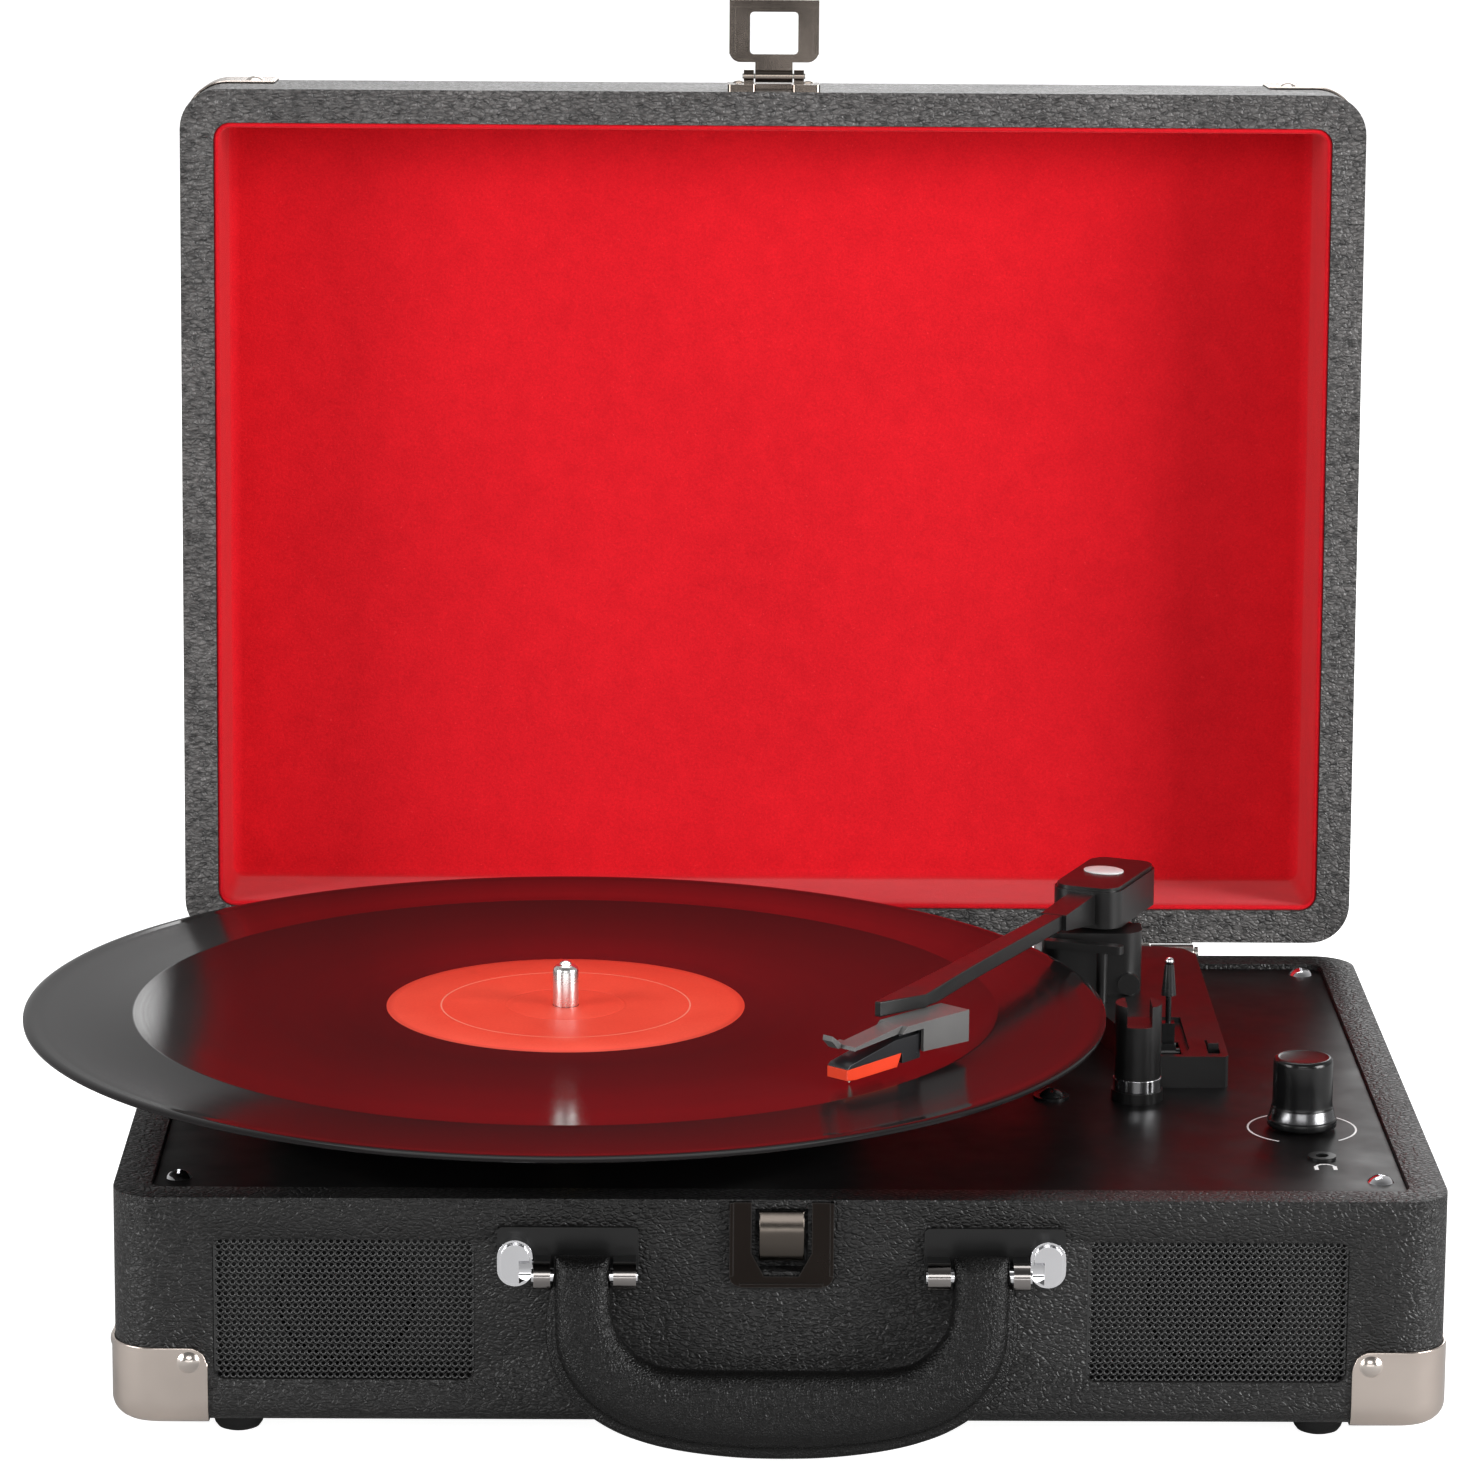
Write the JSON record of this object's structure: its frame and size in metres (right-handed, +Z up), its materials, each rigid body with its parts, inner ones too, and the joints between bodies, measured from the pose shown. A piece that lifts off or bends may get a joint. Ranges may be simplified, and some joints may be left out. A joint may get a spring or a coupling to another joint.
{
  "type": "record player",
  "caption": "Suitcase record player with leaning lid, belt-driven platter, pivoted tonearm with cartridge, front speakers, carrying handle and snap latch.",
  "frame": {"origin": "centre of the bounding box's footprint, on the table plane under the feet", "axes": "+X to the right, +Y to the back, +Z up; the front with handle and speakers faces -Y"},
  "size_m": [0.3893, 0.3778, 0.3561],
  "materials": {
    "leatherette": "satin grain",
    "handle_leather": "satin grain",
    "board": "matte",
    "rubber": "matte",
    "rubber_mat": "matte",
    "deck_gloss": "gloss",
    "arm_plastic": "satin gloss",
    "knob_plastic": "gloss",
    "headshell_plastic": "satin",
    "cartridge_plastic": "satin",
    "stylus_orange": "gloss",
    "stylus_white": "gloss",
    "chrome": "polished",
    "nickel": "polished dark nickel",
    "rivet": "polished",
    "hook_nickel": "polished",
    "hinge_steel": "satin",
    "grille_black": "satin",
    "driver_black": "satin",
    "cone_paper": "matte",
    "mount_black": "satin",
    "bearing_brass": "machined",
    "motor_steel": "satin",
    "pulley_brass": "machined",
    "screw_black": "gloss",
    "jack_plastic": "satin",
    "jack_metal": "plated",
    "board_green": "satin",
    "felt": "napped felt",
    "platter_black": "satin",
    "vinyl": "grooved gloss",
    "label_paper": "matte print",
    "turret_metal": "satin"
  },
  "bodies": {
    "base": {"base_case": "leatherette", "bottom_panel": "board", "rubber_feet": "rubber", "deck_plate": "deck_gloss", "deck_screws": "chrome", "base_corner_guards": "nickel", "base_corner_rivets": "rivet", "speaker_grilles": "grille_black", "speaker_frames": "driver_black", "speaker_cones": "cone_paper", "latch_strike_plate": "nickel", "latch_hook": "hook_nickel", "handle_mounts": "mount_black", "handle_end_caps": "chrome", "handle_pins": "chrome", "hinge_base_leaves": "hinge_steel", "hinge_pins": "hinge_steel", "hinge_base_screws": "hinge_steel", "bearing_housing": "bearing_brass", "motor": "motor_steel", "drive_belt": "rubber", "transit_screw": "screw_black", "tonearm_base_plate": "deck_gloss", "tonearm_pedestal": "arm_plastic", "arm_rest": "arm_plastic", "arm_rest_collar": "chrome", "potentiometer": "motor_steel", "headphone_jack": "jack_plastic", "main_board": "board_green", "rear_jack_panel": "jack_plastic", "rca_jacks": "jack_metal", "dc_inlet": "jack_plastic"},
    "lid": {"lid_shell": "leatherette", "lid_lining": "felt", "lid_corner_guards": "nickel", "lid_corner_rivets": "rivet", "hinge_lid_leaves": "hinge_steel", "hinge_lid_screws": "hinge_steel", "hasp_mount_plate": "nickel", "hasp_pin": "chrome"},
    "hasp": {"hasp_loop": "nickel"},
    "handle": {"handle_grip": "handle_leather"},
    "platter": {"platter": "platter_black", "slip_mat": "rubber_mat", "spindle": "chrome", "vinyl_record": "vinyl", "record_label": "label_paper"},
    "pulley": {"motor_pulley": "pulley_brass"},
    "turret": {"tonearm_turret": "turret_metal", "tonearm_pivot_pin": "chrome"},
    "arm": {"tonearm_head": "arm_plastic", "tonearm_beam": "arm_plastic", "headshell": "headshell_plastic", "cartridge": "cartridge_plastic", "stylus_holder": "stylus_orange", "stylus_tip": "stylus_white"},
    "cue": {"cue_lever": "arm_plastic"},
    "cue_lift": {"cue_platform": "arm_plastic"},
    "knob": {"volume_knob": "knob_plastic"},
    "switch": {"speed_switch": "arm_plastic"}
  },
  "joints": [
    {"name": "lid_hinge", "type": "hinge", "parent": "base", "child": "lid", "pos_m": [0.01505, 0.1195, 0.0683], "axis": [1, 0, 0], "range_deg": [0, 69]},
    {"name": "hasp_flip", "type": "hinge", "parent": "lid", "child": "hasp", "pos_m": [0.01505, 0.14032, 0.33332], "axis": [1, 0, 0], "range_deg": [-85, 90]},
    {"name": "handle_swing", "type": "hinge", "parent": "base", "child": "handle", "pos_m": [0.01505, -0.1502, 0.05], "axis": [-1, 0, 0], "range_deg": [-13, 85]},
    {"name": "platter_spin", "type": "hinge", "parent": "base", "child": "platter", "pos_m": [-0.04385, -0.0381, 0.06], "axis": [0, 0, -1], "continuous": true},
    {"name": "pulley_spin", "type": "hinge", "parent": "base", "child": "pulley", "pos_m": [-0.1062, -0.0021, 0.06], "axis": [0, 0, -1], "continuous": true},
    {"name": "tonearm_swing", "type": "hinge", "parent": "base", "child": "turret", "pos_m": [0.11305, 0.0613, 0.09], "axis": [0, 0, 1], "range_deg": [-16, 24]},
    {"name": "tonearm_lift", "type": "hinge", "parent": "turret", "child": "arm", "pos_m": [0.11305, 0.0613, 0.1], "axis": [-0.9205, 0.3907, 0], "range_deg": [0, 12]},
    {"name": "cue_tilt", "type": "hinge", "parent": "base", "child": "cue", "pos_m": [0.12665, -0.0147, 0.074], "axis": [-1, 0, 0], "range_deg": [0, 40.01]},
    {"name": "cue_rise", "type": "slide", "parent": "base", "child": "cue_lift", "axis": [0, 0, 1], "range_m": [0, 0.004]},
    {"name": "volume_turn", "type": "hinge", "parent": "base", "child": "knob", "pos_m": [0.15995, -0.0662, 0.07], "axis": [0, 0, -1], "range_deg": [0, 296]},
    {"name": "speed_slide", "type": "slide", "parent": "base", "child": "switch", "axis": [0, 1, 0], "range_m": [-0.003, 0.003]}
  ],
  "couplings": [
    {"joint": "pulley_spin", "follows": "platter_spin", "ratio": 15},
    {"joint": "cue_tilt", "follows": "cue_rise", "rad_per_m": 174.53}
  ]
}
